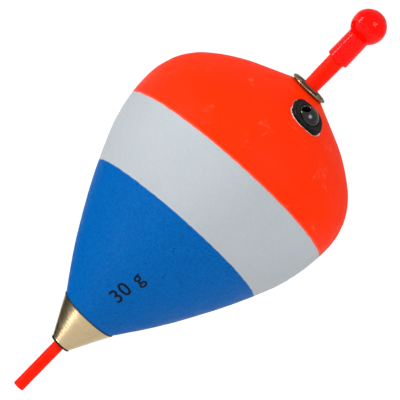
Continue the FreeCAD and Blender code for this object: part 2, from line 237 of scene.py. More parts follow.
class Nodes:
    """Builds the nodes of one material."""

    def __init__(self, name: str) -> None:
        """Makes the material, with its shader and output.

        Args:
            name: the material's name.
        """
        self.material = bpy.data.materials.new(name)
        self.material.use_nodes = True
        self.tree = self.material.node_tree
        self.shader = self.tree.nodes["Principled BSDF"]
        self.place = self.tree.nodes.new("ShaderNodeTexCoord").outputs["Object"]

    def link(self, value: object, socket: Socket) -> None:
        """Puts a number or colour on a socket, or links another node's output to it.

        Args:
            value: a number, a colour or an output.
            socket: the input that takes it.
        """
        if isinstance(value, Socket):
            self.tree.links.new(value, socket)
        elif isinstance(value, tuple) and len(value) == 3 and socket.type == "RGBA":
            socket.default_value = (*value, 1.0)
        else:
            socket.default_value = value

    def math(self, kind: str, first: object, second: object = 0.0, third: object = 0.0) -> Socket:
        """One sum on numbers.

        Args:
            kind: the operation.
            first: first term.
            second: second term.
            third: third term, for a multiply-add.

        Returns:
            The result's output.
        """
        node = self.tree.nodes.new("ShaderNodeMath")
        node.operation = kind
        for value, socket in zip((first, second, third), node.inputs):
            self.link(value, socket)
        return node.outputs[0]

    def stretch(self, factors: Triple, turn: Triple = (0, 0, 0)) -> Socket:
        """The object's own place, turned and stretched.

        Args:
            factors: scale along each axis; a small one draws a pattern out.
            turn: rotation about each axis, in radians.

        Returns:
            The output that carries the place.
        """
        node = self.tree.nodes.new("ShaderNodeMapping")
        node.inputs["Rotation"].default_value = turn
        node.inputs["Scale"].default_value = factors
        self.link(self.place, node.inputs["Vector"])
        return node.outputs[0]

    def noise(self, size: float, detail: float = 3.0, rough: float = 0.55, place: Socket | None = None,
              warp: float = 0.0) -> Socket:
        """Noise of about 0 to 1 whose features are size millimetres across.

        Args:
            size: size of a feature.
            detail: number of finer layers.
            rough: how strong the finer layers are.
            place: where to read it; the object's own place if none.
            warp: how much it is distorted.

        Returns:
            The noise's output.
        """
        node = self.tree.nodes.new("ShaderNodeTexNoise")
        node.inputs["Scale"].default_value = 1 / (size * MM)
        node.inputs["Detail"].default_value = detail
        node.inputs["Roughness"].default_value = rough
        node.inputs["Distortion"].default_value = warp
        self.link(place or self.place, node.inputs["Vector"])
        return node.outputs["Fac"]

    def cells(self, size: float) -> Socket:
        """Distance to the nearest of scattered points, in cell sizes.

        Args:
            size: how far apart the points are, in millimetres.

        Returns:
            The distance's output.
        """
        node = self.tree.nodes.new("ShaderNodeTexVoronoi")
        node.inputs["Scale"].default_value = 1 / (size * MM)
        self.link(self.place, node.inputs["Vector"])
        return node.outputs["Distance"]

    def spots(self, size: float, low: float, high: float, patch: Socket, few: float, many: float) -> Socket:
        """Small round spots, 1 inside and 0 outside, where a patchy value is high.

        Args:
            size: how far apart the spots are, in millimetres.
            low: radius of a spot's full part, in cell sizes.
            high: radius at which it has faded out.
            patch: the patchy value.
            few: the value below which there are no spots.
            many: the value above which they are all there.

        Returns:
            The output that carries the spots.
        """
        return self.math("MULTIPLY", self.step(self.cells(size), low, high, 1.0, 0.0),
                         self.step(patch, few, many))

    def scratches(self, size: float, factors: Triple, turn: Triple, rare: float) -> Socket:
        """Long thin scratches: noise stretched along one way, of which only the peaks stay."""
        return self.step(self.noise(size, 2.0, 0.5, self.stretch(factors, turn)), rare, 0.7)

    def step(self, value: object, low: float, high: float, bottom: float = 0.0, top: float = 1.0) -> Socket:
        """Goes smoothly from bottom to top as the value goes from low to high.

        Args:
            value: what is followed.
            low: value at which it leaves bottom.
            high: value at which it gets to top.
            bottom: result at low and below.
            top: result at high and above.

        Returns:
            The result's output.
        """
        node = self.tree.nodes.new("ShaderNodeMapRange")
        node.interpolation_type = "SMOOTHSTEP"
        for value_in, socket in zip((value, low, high, bottom, top), node.inputs):
            self.link(value_in, socket)
        return node.outputs[0]

    def mix(self, share: object, first: object, second: object, blend: Blend = Blend.MIX) -> Socket:
        """Blends two colours.

        Args:
            share: how much of the second, 0 to 1.
            first: the colour underneath.
            second: the colour on top.
            blend: how they are put together.

        Returns:
            The colour's output.
        """
        node = self.tree.nodes.new("ShaderNodeMix")
        node.data_type = "RGBA"
        node.blend_type = blend.value
        self.link(share, node.inputs[0])
        self.link(first, node.inputs[6])
        self.link(second, node.inputs[7])
        return node.outputs[2]

    def between(self, share: object, first: object, second: object) -> Socket:
        """Blends two numbers.

        Args:
            share: how much of the second, 0 to 1.
            first: value at 0.
            second: value at 1.

        Returns:
            The number's output.
        """
        node = self.tree.nodes.new("ShaderNodeMix")
        self.link(share, node.inputs[0])
        self.link(first, node.inputs[2])
        self.link(second, node.inputs[3])
        return node.outputs[0]

    def value_of(self, name: str) -> Socket:
        """A number stored on the mesh.

        Args:
            name: the name it was stored under.

        Returns:
            The number's output.
        """
        node = self.tree.nodes.new("ShaderNodeAttribute")
        node.attribute_name = name
        return node.outputs["Fac"]

    def split(self) -> tuple:
        """The object's own place as three numbers.

        Returns:
            The outputs for X, Y and Z, in metres.
        """
        node = self.tree.nodes.new("ShaderNodeSeparateXYZ")
        self.link(self.place, node.inputs[0])
        return tuple(node.outputs)

    def relief(self, height: object, depth: float, after: object = None) -> Socket:
        """Adds bumps whose height of 0 to 1 stands for depth millimetres.

        Args:
            height: the relief's height, 0 to 1.
            depth: what a height of 1 stands for.
            after: a relief that this one is added to.

        Returns:
            The normal's output.
        """
        node = self.tree.nodes.new("ShaderNodeBump")
        node.inputs["Strength"].default_value = 1.0
        node.inputs["Distance"].default_value = depth * MM
        self.link(height, node.inputs["Height"])
        if after is not None:
            self.link(after, node.inputs["Normal"])
        return node.outputs[0]

    def grey(self, shade: float) -> Socket:
        """A grey with a very slight cloudiness."""
        cloud = self.step(self.noise(400.0, 2.0, 0.5), 0.3, 0.7)
        return self.mix(cloud, (shade, shade, shade), (shade * 0.985,) * 3)

    def set(self, **sockets: object) -> None:
        """Sets the shader's sockets, named with _ for a space."""
        for name, value in sockets.items():
            self.link(value, self.shader.inputs[name.replace("_", " ")])


@dataclass(frozen=True)
class PaintPlane:
    """A straight dip line between two paints: height at the axis, and its slopes along X and Y."""

    height: float
    slope_x: float
    slope_y: float


@dataclass(frozen=True)
class PaintedFoam:
    """Three coats of satin paint on fine-celled foam, scuffed, with bare foam where it is chipped."""

    red: Triple = (1.0, 0.03, 0.001)
    scuff: Triple = (1.0, 0.13, 0.06)
    grey: Triple = (0.52, 0.56, 0.59)
    blue: Triple = (0.0, 0.155, 0.54)
    deep: Triple = (0.0, 0.105, 0.4)
    speck: Triple = (0.0, 0.03, 0.12)
    foam: Triple = (0.85, 0.83, 0.78)
    # glow: the red coat emits a little light of its own, painted light standing in for its fluorescent
    # brightness
    glow: float = 0.12
    red_edge: PaintPlane = PaintPlane(50.27, 0.0646, 0.285)
    blue_edge: PaintPlane = PaintPlane(37.95, 0.0576, 0.2662)

    def build(self) -> Material:
        """Makes the material.

        Returns:
            The finish's material.
        """
        nodes = Nodes("painted_foam")
        x, y, z = nodes.split()

        def above(edge: PaintPlane, wobble: Socket) -> Socket:
            """Height over a dip line in millimetres, with a slight wobble.

            Args:
                edge: the dip line.
                wobble: unevenness of the line, in millimetres about 0.

            Returns:
                The height's output.
            """
            level = nodes.math("MULTIPLY_ADD", x, edge.slope_x, z)
            level = nodes.math("MULTIPLY_ADD", y, edge.slope_y, level)
            level = nodes.math("MULTIPLY_ADD", level, 1 / MM, -edge.height)
            return nodes.math("MULTIPLY_ADD", wobble, 0.28, level)

        wobble = nodes.math("SUBTRACT", nodes.noise(1.6, 5.0, 0.6), 0.5)
        red_level = above(self.red_edge, wobble)
        blue_level = above(self.blue_edge, wobble)
        mottle = nodes.noise(0.42, 4.0, 0.65)
        cloud = nodes.noise(7.0, 3.0, 0.6, warp=0.6)
        grain = nodes.noise(0.16, 2.0, 0.5)

        scuffs = nodes.math("MULTIPLY", nodes.step(nodes.noise(5.5, 4.0, 0.7, warp=1.2), 0.56, 0.72),
                            nodes.step(nodes.noise(0.7, 4.0, 0.75), 0.42, 0.62))
        red = nodes.mix(nodes.step(cloud, 0.3, 0.75, 0.0, 0.35), self.red, (1.0, 0.04, 0.003))
        red = nodes.mix(nodes.math("MULTIPLY", scuffs, 0.75), red, self.scuff)
        thin = nodes.math("SUBTRACT", 1.0, nodes.step(red_level, 0.0, 0.55))
        red = nodes.mix(nodes.math("MULTIPLY", thin, 0.45), red, (1.0, 0.2, 0.12))

        grey = nodes.mix(nodes.step(cloud, 0.3, 0.8, 0.0, 0.4), self.grey, (0.48, 0.52, 0.55))
        specks = nodes.spots(0.95, 0.1, 0.16, nodes.noise(1.9, 3.0, 0.6), 0.5, 0.62)
        blue = nodes.mix(nodes.step(mottle, 0.34, 0.7), self.deep, self.blue)
        blue = nodes.mix(specks, blue, self.speck)

        colour = nodes.mix(nodes.step(blue_level, -0.08, 0.08), blue, grey)
        colour = nodes.mix(nodes.step(red_level, -0.08, 0.1), colour, red)
        shade = nodes.step(mottle, 0.25, 0.8, 0.0, 0.1)
        colour = nodes.mix(shade, colour, (0.25, 0.25, 0.27), Blend.MULTIPLY)

        bare = nodes.value_of("bare")
        beads = nodes.cells(0.42)
        raw = nodes.mix(nodes.step(beads, 0.3, 0.7), self.foam, (0.55, 0.52, 0.47))
        colour = nodes.mix(nodes.step(bare, 0.35, 0.6), colour, raw)

        rough = nodes.between(nodes.step(cloud, 0.3, 0.7), 0.42, 0.55)
        rough = nodes.between(scuffs, rough, 0.75)
        rough = nodes.between(nodes.step(bare, 0.35, 0.6), rough, 0.9)
        step_edges = nodes.math("ADD", nodes.step(red_level, -0.1, 0.15), nodes.step(blue_level, 0.1, -0.15))
        normal = nodes.relief(grain, 0.012)
        normal = nodes.relief(mottle, 0.03, normal)
        normal = nodes.relief(nodes.noise(2.4, 2.0, 0.5), 0.05, normal)
        normal = nodes.relief(step_edges, 0.025, normal)
        normal = nodes.relief(nodes.math("MULTIPLY", beads, nodes.step(bare, 0.35, 0.6)), 0.12, normal)
        # the red coat glows a little by itself through the emission below: painted light
        nodes.set(Base_Color=colour, Roughness=rough, Normal=normal, IOR=1.46, Specular_IOR_Level=0.05,
                  Emission_Color=self.red,
                  Emission_Strength=nodes.math("MULTIPLY", nodes.step(red_level, -0.1, 0.3), self.glow))
        return nodes.material


@dataclass(frozen=True)
class TurnedBrass:
    """Lathe-turned brass: fine rings, long scratches, dull patches and a darker edge."""

    bright: Triple = (0.78, 0.60, 0.35)
    dull: Triple = (0.52, 0.40, 0.22)
    name: str = "turned_brass"
    roughness: float = 0.24
    patina: float = 0.35

    def build(self) -> Material:
        """Makes the material.

        Returns:
            The finish's material.
        """
        nodes = Nodes(self.name)
        rings = nodes.noise(0.12, 3.0, 0.6, nodes.stretch((0.02, 0.02, 1.0)))
        broad = nodes.noise(0.6, 3.0, 0.6, nodes.stretch((0.03, 0.03, 1.0)))
        patch = nodes.noise(2.2, 5.0, 0.65, warp=0.8)
        pits = nodes.spots(0.5, 0.05, 0.13, nodes.noise(1.3), 0.52, 0.62)
        scratch = nodes.scratches(0.09, (1.0, 1.0, 0.045), (0.5, 0.35, 0.2), 0.64)
        tarnish = nodes.step(patch, 0.45, 0.75, 0.0, self.patina)
        colour = nodes.mix(tarnish, self.bright, self.dull)
        colour = nodes.mix(nodes.step(rings, 0.3, 0.7, 0.0, 0.25), colour, self.dull)
        colour = nodes.mix(nodes.math("MULTIPLY", pits, 0.7), colour, (0.16, 0.12, 0.06))
        # the 'seam' values darken the brass: painted shade under the eyelet's rolled rim, and the cone's top
        # edge where it meets the foam
        colour = nodes.mix(nodes.value_of("seam"), colour, (0.05, 0.04, 0.025))
        rough = nodes.math("MULTIPLY_ADD", nodes.step(patch, 0.3, 0.8), 0.1, self.roughness)
        rough = nodes.math("MULTIPLY_ADD", nodes.step(broad, 0.3, 0.7), 0.06, rough)
        normal = nodes.relief(rings, 0.0006)
        normal = nodes.relief(broad, 0.0012, normal)
        normal = nodes.relief(nodes.math("SUBTRACT", 1.0, scratch), 0.0008, normal)
        nodes.set(Base_Color=colour, Roughness=rough, Normal=normal, Metallic=1.0, Anisotropic=0.35)
        return nodes.material


@dataclass(frozen=True)
class MatteMoulding:
    """Matt moulded plastic: fine spark-eroded grain, flow streaks, rubbed and dusty patches."""

    name: str
    colour: Triple
    streak: Triple
    worn: Triple
    roughness: float = 0.5
    grain: float = 0.012
    wear: float = 0.5
    shine: float = 0.3
    tint: Triple = (1.0, 1.0, 1.0)
    # glow: emission in the plastic's own colour, painted light that makes it brighten by itself
    glow: float = 0.0

    def build(self) -> Material:
        """Makes the material.

        Returns:
            The finish's material.
        """
        nodes = Nodes(self.name)
        streaks = nodes.noise(0.5, 3.0, 0.6, nodes.stretch((1.0, 1.0, 0.12)))
        grain = nodes.noise(0.07, 2.0, 0.5)
        rub = nodes.math("MULTIPLY", nodes.step(nodes.noise(1.8, 4.0, 0.7, warp=0.8), 0.5, 0.68),
                         nodes.step(nodes.noise(0.22, 3.0, 0.7), 0.4, 0.6))
        colour = nodes.mix(nodes.step(streaks, 0.35, 0.7), self.colour, self.streak)
        colour = nodes.mix(nodes.math("MULTIPLY", rub, self.wear), colour, self.worn)
        rough = nodes.math("MULTIPLY_ADD", rub, 0.2, self.roughness)
        rough = nodes.math("MULTIPLY_ADD", nodes.step(streaks, 0.3, 0.7), 0.08, rough)
        normal = nodes.relief(grain, self.grain)
        normal = nodes.relief(streaks, 0.015, normal)
        nodes.set(Base_Color=colour, Roughness=rough, Normal=normal, IOR=1.5, Specular_IOR_Level=self.shine,
                  Specular_Tint=self.tint, Emission_Color=self.colour, Emission_Strength=self.glow)
        return nodes.material


@dataclass(frozen=True)
class DippedVinyl:
    """Soft glossy vinyl: clear depth, wide shallow dimples and dust."""

    colour: Triple = (0.98, 0.004, 0.001)
    depth: Triple = (0.88, 0.001, 0.001)

    def build(self) -> Material:
        """Makes the material.

        Returns:
            The finish's material.
        """
        nodes = Nodes("red_cap")
        cloud = nodes.noise(1.6, 3.0, 0.6, warp=0.5)
        dust = nodes.spots(0.36, 0.06, 0.13, nodes.noise(0.9), 0.5, 0.6)
        colour = nodes.mix(nodes.step(cloud, 0.3, 0.75), self.colour, self.depth)
        colour = nodes.mix(nodes.math("MULTIPLY", dust, 0.3), colour, (1.0, 0.35, 0.3))
        rough = nodes.math("MULTIPLY_ADD", nodes.step(nodes.noise(0.9, 3.0, 0.6), 0.35, 0.7), 0.06, 0.2)
        rough = nodes.math("MULTIPLY_ADD", dust, 0.2, rough)
        waves = nodes.noise(1.6, 2.0, 0.5)
        normal = nodes.relief(nodes.noise(0.25, 2.0, 0.5), 0.002, nodes.relief(waves, 0.02))
        # the cap glows a little by itself through its emission: painted light standing in for its fluorescent
        # brightness
        nodes.set(Base_Color=colour, Roughness=rough, Normal=normal, IOR=1.5, Specular_IOR_Level=0.06,
                  Specular_Tint=(1.0, 0.16, 0.1), Emission_Color=self.colour, Emission_Strength=0.1,
                  Coat_Weight=0.22, Coat_Roughness=0.11, Coat_Normal=nodes.relief(waves, 0.012))
        return nodes.material


@dataclass(frozen=True)
class GlossBead:
    """Polished black plastic, finely scratched where the line runs, with a little dust."""

    colour: Triple = (0.006, 0.006, 0.007)

    def build(self) -> Material:
        """Makes the material.

        Returns:
            The finish's material.
        """
        nodes = Nodes("black_bead")
        scratch = nodes.scratches(0.05, (1.0, 0.06, 1.0), (0.4, 0.2, 0.9), 0.62)
        dust = nodes.spots(0.3, 0.08, 0.16, nodes.noise(0.8), 0.5, 0.62)
        haze = nodes.step(nodes.noise(0.9, 4.0, 0.65), 0.4, 0.75)
        colour = nodes.mix(nodes.math("MULTIPLY", dust, 0.4), self.colour, (0.2, 0.19, 0.17))
        rough = nodes.math("MULTIPLY_ADD", haze, 0.12, 0.12)
        rough = nodes.math("MULTIPLY_ADD", dust, 0.3, rough)
        normal = nodes.relief(nodes.math("SUBTRACT", 1.0, scratch), 0.003)
        nodes.set(Base_Color=colour, Roughness=rough, Normal=normal, IOR=1.52, Coat_Weight=0.3,
                  Coat_Roughness=0.08)
        return nodes.material


@dataclass(frozen=True)
class PadInk:
    """Black pad-printing ink, slightly thin and broken at its edges."""

    def build(self) -> Material:
        """Makes the material.

        Returns:
            The finish's material.
        """
        nodes = Nodes("pad_ink")
        thin = nodes.step(nodes.noise(0.3, 4.0, 0.7), 0.5, 0.75)
        colour = nodes.mix(nodes.math("MULTIPLY", thin, 0.5), (0.004, 0.005, 0.007), (0.01, 0.02, 0.04))
        rough = nodes.math("MULTIPLY_ADD", thin, 0.2, 0.5)
        nodes.set(Base_Color=colour, Roughness=rough, Normal=nodes.relief(nodes.noise(0.2, 3.0, 0.6), 0.006),
                  Specular_IOR_Level=0.12)
        return nodes.material


# ---------------------------------------------------------------- pieces

@dataclass
class Part:
    """What every piece of the float has: its name, its body, the node it stands for and its slot."""

    name: str
    body: str
    node: str
    slot: str

    def dress(self, piece: Piece, material: Material) -> Piece:
        """Gives the piece its finish and its body, hides the frame's node it stands for, and reports it.

        Args:
            piece: the piece's object.
            material: its finish.

        Returns:
            The same object.
        """
        piece.data.materials.clear()
        piece.data.materials.append(material)
        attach(piece, self.body)
        if self.node:
            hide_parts(self.node)
        log.info("%s: %d points, %d faces, on %s", piece.name, len(piece.data.vertices),
                 len(piece.data.polygons), self.body)
        return piece


@dataclass
class FoamBody(Part):
    """The foam body: a closed turned shape with a hole let into its shoulder for the line guide."""

    hip_radius: float = 30.5
    hip_sweep: float = 22.3
    belly: float = 53.3
    shoulder_radius: float = 12.7
    shoulder_sweep: float = 49.7
    crown_radius: float = 30.4
    crown_sweep: float = 15.9
    seat_radius: float = 2.6
    core_radius: float = 2.0
    base_radius: float = 5.35
    reach: float = 8.15
    hole_length: float = 3.23
    hole_width: float = 3.13
    hole_squareness: float = 2.6
    pocket: tuple[Pair, ...] = (
        (2.72, 1.36), (2.66, 1.42), (2.66, 2.5), (2.66, 3.7), (2.66, 4.72), (2.6, 4.78), (1.3, 4.78),
    )
    pocket_depth: float = 4.78
    window: Pair = (3.9, 12.4)
    window_sweep: float = 32.0
    seat_rows: int = 3
    core_rows: int = 30
    columns: int = 192
    outline: Array = field(init=False)
    first_upper: int = field(init=False)

    def __post_init__(self) -> None:
        """Works out the outline from the frame's box and the arcs."""
        low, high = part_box(self.node)
        self.radius, self.base, self.seat = high[0] / MM, low[2] / MM, high[2] / MM
        hip, shoulder = math.radians(self.hip_sweep), math.radians(self.shoulder_sweep)
        crown = shoulder + math.radians(self.crown_sweep)
        self.lean = math.pi / 2 - crown
        hip_end = (self.radius - self.hip_radius * (1 - math.cos(hip)),
                   self.belly - self.hip_radius * math.sin(hip))
        drop = (hip_end[0] - self.base_radius, hip_end[1] - self.base)
        flank = (drop[0] ** 2 + drop[1] ** 2) / (2 * (drop[0] * math.cos(hip) - drop[1] * math.sin(hip)))
        flank_mid = (hip_end[0] - flank * math.cos(hip), hip_end[1] + flank * math.sin(hip))
        foot = math.degrees(math.atan2(self.base - flank_mid[1], self.base_radius - flank_mid[0]))
        shoulder_mid = (self.radius - self.shoulder_radius, self.belly)
        shoulder_end = (shoulder_mid[0] + self.shoulder_radius * math.cos(shoulder),
                        shoulder_mid[1] + self.shoulder_radius * math.sin(shoulder))
        crown_mid = (shoulder_end[0] - self.crown_radius * math.cos(shoulder),
                     shoulder_end[1] - self.crown_radius * math.sin(shoulder))
        crown_end = (crown_mid[0] + self.crown_radius * math.cos(crown),
                     crown_mid[1] + self.crown_radius * math.sin(crown))
        lower = np.vstack((
            straight((self.core_radius, self.base), (self.base_radius, self.base), 4),
            arc(flank_mid, flank, foot, -self.hip_sweep, 40),
            arc((self.radius - self.hip_radius, self.belly), self.hip_radius, -self.hip_sweep, 0, 20),
        ))
        upper = through(
            arc(shoulder_mid, self.shoulder_radius, 0, self.shoulder_sweep, 26),
            arc(crown_mid, self.crown_radius, self.shoulder_sweep, math.degrees(crown), 20),
            (*crown_end, 20), (self.seat_radius, self.seat, self.seat_rows), (self.core_radius, self.seat, 0),
        )
        core = straight((self.core_radius, self.seat), (self.core_radius, self.base), self.core_rows)
        self.outline = np.vstack((lower, upper, core))
        self.first_upper = len(lower)
        self.guide = np.array([0, -self.reach, self.height_at(np.array([self.reach]))[0]])
        self.out = np.array([0, -math.sin(self.lean), math.cos(self.lean)])
        self.across = np.array([0, math.cos(self.lean), math.sin(self.lean)])

    def height_at(self, radius: Array) -> Array:
        """Height of the shoulder's surface at a distance from the axis."""
        upper = self.outline[self.first_upper:-self.core_rows][::-1]
        return np.interp(radius, upper[:, 0], upper[:, 1])

    def radius_at(self, height: Array) -> Array:
        """Distance of the flank's surface from the axis at a height below the belly."""
        lower = self.outline[:self.first_upper]
        return np.interp(height, lower[:, 1], lower[:, 0])

    def hole_edge(self, angle: Array) -> Array:
        """Distance of the hole's edge from its middle: a squared ellipse, a little torn.

        Args:
            angle: directions from the hole's middle, in radians.

        Returns:
            A distance for each direction.
        """
        power = self.hole_squareness
        edge = (np.abs(np.cos(angle) / self.hole_length) ** power
                + np.abs(np.sin(angle) / self.hole_width) ** power) ** (-1 / power)
        ring = np.column_stack((np.cos(angle), np.sin(angle), np.zeros_like(angle)))
        return edge * (1 + 0.018 * ripple(ring * 4, 1.6, 3) + 0.01 * ripple(ring * 4, 0.5, 4))

    def on_surface(self, local: Array) -> Array:
        """Carries points of the guide's own plane along its axis on to the shoulder.

        Args:
            local: rows of (X, across) about the guide's foot.

        Returns:
            Rows of places on the shoulder.
        """
        flat = self.guide + local[:, :1] * np.array([1.0, 0, 0]) + local[:, 1:2] * self.across
        lift = np.zeros(len(flat))
        for _ in range(12):
            spot = flat + lift[:, None] * self.out
            lift += (self.height_at(np.hypot(spot[:, 0], spot[:, 1])) - spot[:, 2]) * math.cos(self.lean)
        return flat + lift[:, None] * self.out

    def build(self) -> tuple[Array, list, Array]:
        """Turns the body, opens a window round the guide and fills it with rings down into the hole.

        A ring's point is the mean, by a growing share, of a point of the window's edge and the point
        of the hole's edge in the same direction, both in the shoulder's surface. Below the flange's
        seat the hole goes on as a round pocket, whose rings are given by their radius and depth.

        Returns:
            Points, faces and how bare of paint each point is.
        """
        columns = self.columns
        points, faces = turned(self.outline, columns, True)
        radii = self.outline[:, 0]
        upper = np.arange(self.first_upper, len(radii) - self.core_rows - self.seat_rows)
        rows = upper[(radii[upper] > self.window[0]) & (radii[upper] < self.window[1])]
        low_row, high_row = rows[0], rows[-1]
        middle, half = 3 * columns // 4, round(columns * self.window_sweep / 360)
        faces = np.asarray(faces).reshape(len(radii), columns, 4)
        keep = np.ones((len(radii), columns), bool)
        keep[low_row:high_row, middle - half:middle + half] = False
        faces = faces[keep].tolist()

        across = np.arange(middle - half, middle + half)
        down = np.arange(low_row, high_row)
        loop = np.concatenate((
            low_row * columns + across,
            down * columns + middle + half,
            high_row * columns + across[::-1] + 1,
            (down[::-1] + 1) * columns + middle - half,
        ))
        window = points[loop] - self.guide
        local = np.column_stack((window[:, 0], window @ self.across))
        angle = np.arctan2(local[:, 1], local[:, 0])
        edge = self.hole_edge(angle)[:, None] * np.column_stack((np.cos(angle), np.sin(angle)))
        ring = np.column_stack((np.cos(angle), np.sin(angle), np.zeros_like(angle))) * 4
        torn = 0.5 + 0.5 * ripple(ring, 2.2, 8)
        chip = 0.05 + 0.3 * np.clip(torn, 0, 1) * (0.35 + 0.65 * smoothstep(0.2, -0.6, np.sin(angle + 0.5)))

        count, bare_parts, blocks = len(loop), [], []
        for share in (1 - np.linspace(0, 1, 17)[1:-1]) ** 1.7:
            block = self.on_surface(edge + (local - edge) * share)
            gap = np.linalg.norm(local - edge, axis=1) * share
            bare = smoothstep(1.25, 0.75, gap / chip)
            block -= self.out * (0.05 * bare * (1 + 0.7 * ripple(block, 0.35, 9)))[:, None]
            blocks.append(block)
            bare_parts.append(bare)
        rim = self.on_surface(edge)
        for depth in (0.1, 0.22, 0.5, 0.9, 1.3):
            inward = min(depth, 0.2) * 0.25
            wall = rim - self.out * depth
            wall -= (wall - self.guide + self.out * depth) * (inward / 3.0)
            wall += 0.02 * ripple(wall, 0.4, 11)[:, None] * (rim - self.guide) / 3.0
            blocks.append(wall)
            bare_parts.append(np.ones(count))
        floor = self.guide - self.out * self.pocket_depth
        around = np.cos(angle)[:, None] * np.array([1.0, 0, 0]) + np.sin(angle)[:, None] * self.across
        for reach, depth in self.pocket:
            blocks.append(self.guide - self.out * depth + around * reach)
            bare_parts.append(np.ones(count))
        total = len(points)
        rings = np.vstack(blocks)
        step = np.arange(count)
        after = (step + 1) % count
        first = total + step
        faces += np.column_stack((loop, loop[after], first[after], first)).tolist()
        for number in range(len(blocks) - 1):
            below = total + number * count
            faces += np.column_stack((below + step, below + after, below + count + after,
                                      below + count + step)).tolist()
        last = total + (len(blocks) - 1) * count
        faces += np.column_stack((last + step, last + after, np.full(count, total + len(rings)))).tolist()
        bare = np.concatenate((np.zeros(total), *bare_parts, [1.0]))
        points = np.vstack((points, rings, floor))
        inner = np.isclose(np.hypot(points[:, 0], points[:, 1]), self.core_radius, atol=0.05)
        bare[inner] = 1.0
        wave = swell(points)
        distance = np.hypot(points[:, 0], points[:, 1])
        wave *= smoothstep(self.seat_radius, self.seat_radius + 3, distance) * (bare < 0.5)
        wave -= 0.045 * (distance > self.radius - 1)
        wave *= smoothstep(self.base, self.base + 3, points[:, 2])
        near = np.linalg.norm(points - self.guide, axis=1)
        wave *= smoothstep(4.4, 6.0, near)
        flat = points[:, :2] / np.maximum(distance, 1e-6)[:, None]
        points[:, :2] += flat * wave[:, None]
        return points, faces, bare

    def make(self, finish: PaintedFoam) -> Piece:
        """Makes and dresses the body.

        Args:
            finish: the paint and foam.

        Returns:
            The finished piece.
        """
        points, faces, bare = self.build()
        piece = make_piece(self.name, points, faces, 50)
        set_values(piece, "bare", bare)
        return self.dress(piece, finish.build())


@dataclass
class CapacityMark(Part):
    """The plain capacity figure printed on the flank, running up the float."""

    text: str = "30 g"
    height: float = 2.5
    start: float = 23.7
    heading: float = -106.0
    lift: float = 0.012
    cell: float = 0.5
    weld: float = 0.001

    def make(self, foam: FoamBody, finish: PadInk) -> Piece:
        """Cuts the flat figures into small cells and bends them round the flank.

        A point at (along, across) goes to height start + along and angle heading + across / radius.

        Args:
            foam: the body it is printed on.
            finish: the ink.

        Returns:
            The finished piece.
        """
        curve = bpy.data.curves.new("capacity_figures", "FONT")
        curve.body = self.text
        curve.size = self.height / 0.7
        curve.space_character = 1.12
        curve.offset = 0.03
        flat = bpy.data.objects.new("capacity_figures", curve)
        mesh = bpy.data.meshes.new_from_object(flat)
        bpy.data.objects.remove(flat)
        cut = bmesh.new()
        cut.from_mesh(mesh)
        low = Vector((-1.0, -2.0, 0))
        for axis, steps in ((Vector((1, 0, 0)), 34), (Vector((0, 1, 0)), 16)):
            for number in range(steps):
                bmesh.ops.bisect_plane(cut, geom=cut.verts[:] + cut.edges[:] + cut.faces[:],
                                       plane_co=low + axis * self.cell * number, plane_no=axis)
        bmesh.ops.remove_doubles(cut, verts=cut.verts[:], dist=self.weld)
        bmesh.ops.dissolve_degenerate(cut, edges=cut.edges[:], dist=self.weld)
        cut.to_mesh(mesh)
        cut.free()
        spots = np.empty(len(mesh.vertices) * 3)
        mesh.vertices.foreach_get("co", spots)
        spots = spots.reshape(-1, 3)
        along, across = spots[:, 0], spots[:, 1]
        height = self.start + along
        radius = foam.radius_at(height)
        angle = math.radians(self.heading) + (across - self.height / 2) / radius * -1
        slope = np.gradient(foam.radius_at(np.array([30.0, 30.1])), 0.1)[0]
        out = np.column_stack((np.cos(angle), np.sin(angle), np.full(len(angle), -slope)))
        out /= np.linalg.norm(out, axis=1)[:, None]
        place = np.column_stack((radius * np.cos(angle), radius * np.sin(angle), height))
        place += out * self.lift + out * swell(place)[:, None]
        mesh.vertices.foreach_set("co", (place * MM).ravel())
        mesh.name = self.name
        piece = bpy.data.objects.new(self.name, mesh)
        bpy.context.scene.collection.objects.link(piece)
        sheet = piece.modifiers.new("ink_thickness", "SOLIDIFY")
        sheet.thickness = 0.02 * MM
        sheet.offset = 1.0
        return self.dress(piece, finish.build())


